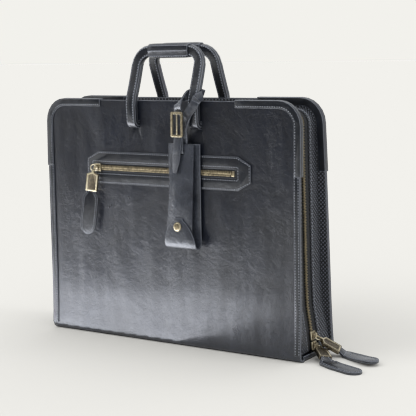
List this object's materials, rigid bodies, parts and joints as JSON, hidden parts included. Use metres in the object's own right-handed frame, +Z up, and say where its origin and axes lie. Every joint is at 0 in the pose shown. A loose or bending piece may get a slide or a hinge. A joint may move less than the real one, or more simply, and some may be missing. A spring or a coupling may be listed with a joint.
{
  "type": "leather document case",
  "caption": "Slim zip-around leather document case standing upright, with handles, front zip pocket, brass pulls and a leather tag.",
  "frame": {"origin": "middle of the flat base, on the ground the case stands on", "axes": "+X along the width to the right of someone who faces the pocket, +Y to the back, +Z up"},
  "size_m": [0.5124, 0.1012, 0.4087],
  "materials": {
    "panel_leather": "glossy, finely creased",
    "trim_leather": "glossy, stitched edges",
    "tag_leather": "glossy, pale worn edges",
    "tape": "matt herringbone",
    "brass": "antique, rubbed bright at the edges"
  },
  "bodies": {
    "root": {"front_panel": "panel_leather", "back_panel": "panel_leather", "base_panel": "panel_leather", "gusset_front": "tape", "gusset_back": "tape", "zip_tape_front": "tape", "zip_tape_back": "tape", "zip_teeth": "brass", "corner_binding_front_left": "trim_leather", "corner_binding_front_right": "trim_leather", "corner_binding_back_left": "trim_leather", "corner_binding_back_right": "trim_leather", "side_binding_front_left": "trim_leather", "side_binding_front_right": "trim_leather", "side_binding_back_left": "trim_leather", "side_binding_back_right": "trim_leather", "handle_front": "trim_leather", "handle_back": "trim_leather", "grip_front": "panel_leather", "grip_back": "panel_leather", "pocket_facing": "trim_leather", "pocket_tape": "tape", "pocket_teeth": "brass", "pocket_stop": "brass", "pocket_slider": "brass", "pocket_link": "brass", "pocket_pull": "brass", "pocket_tab": "trim_leather", "upper_slider": "brass", "upper_link": "brass", "upper_pull": "brass", "upper_tab": "trim_leather", "lower_slider": "brass", "lower_link": "brass", "lower_pull": "brass", "lower_tab": "trim_leather", "tag_back_leaf": "tag_leather", "tag_front_leaf": "tag_leather", "tag_strap": "tag_leather", "tag_buckle": "brass", "tag_prong": "brass", "tag_snap": "brass"}
  },
  "joints": []
}
